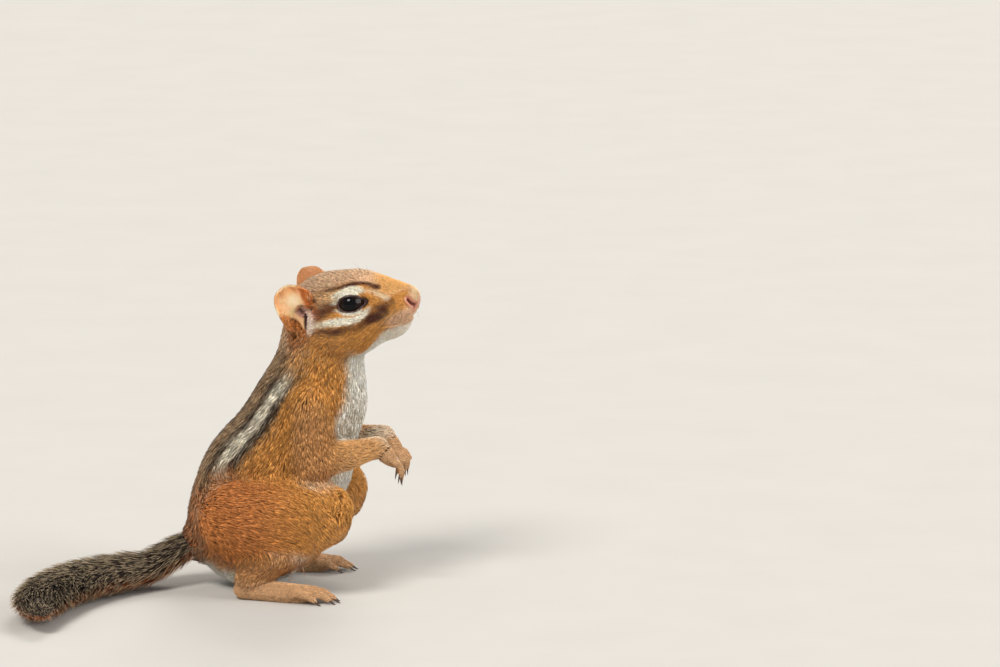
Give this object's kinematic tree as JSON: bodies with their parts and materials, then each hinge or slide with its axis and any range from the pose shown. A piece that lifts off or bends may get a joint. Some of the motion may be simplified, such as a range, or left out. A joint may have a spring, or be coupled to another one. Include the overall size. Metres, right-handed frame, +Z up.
{
  "type": "chipmunk",
  "caption": "Life-size still chipmunk with striped fur, sitting upright on its haunches with forepaws held before the chest, head slightly raised and tail laid round on the ground.",
  "frame": {"origin": "middle of the whole animal's box, on the plane it sits on", "axes": "+X the way the body faces, +Y to the animal's left, +Z up"},
  "size_m": [0.1162, 0.1032, 0.0974],
  "materials": {
    "body_coat": "short fur, ochre and grey-brown, with dark and cream stripes along the back",
    "head_coat": "short fur, ochre, with cream and dark stripes past the eye",
    "limb_coat": "short ochre fur",
    "tail_coat": "long fur, dark above and rufous below with a pale fringe",
    "ear_skin": "thin bare skin with fine down",
    "nose_skin": "moist bare skin",
    "paw_skin": "thinly haired skin",
    "eye": "wet gloss"
  },
  "bodies": {
    "root": {"torso": "body_coat", "neck": "body_coat", "head": "head_coat", "nose": "nose_skin", "eye_left": "eye", "eye_right": "eye", "ear_left": "ear_skin", "ear_right": "ear_skin", "upperarm_left": "limb_coat", "upperarm_right": "limb_coat", "forearm_left": "limb_coat", "forearm_right": "limb_coat", "forepaw_left": "paw_skin", "forepaw_right": "paw_skin", "thigh_left": "body_coat", "thigh_right": "body_coat", "shin_left": "limb_coat", "shin_right": "limb_coat", "hindfoot_left": "paw_skin", "hindfoot_right": "paw_skin", "tail_root": "tail_coat", "tail_middle": "tail_coat", "tail_tip": "tail_coat"}
  },
  "joints": []
}
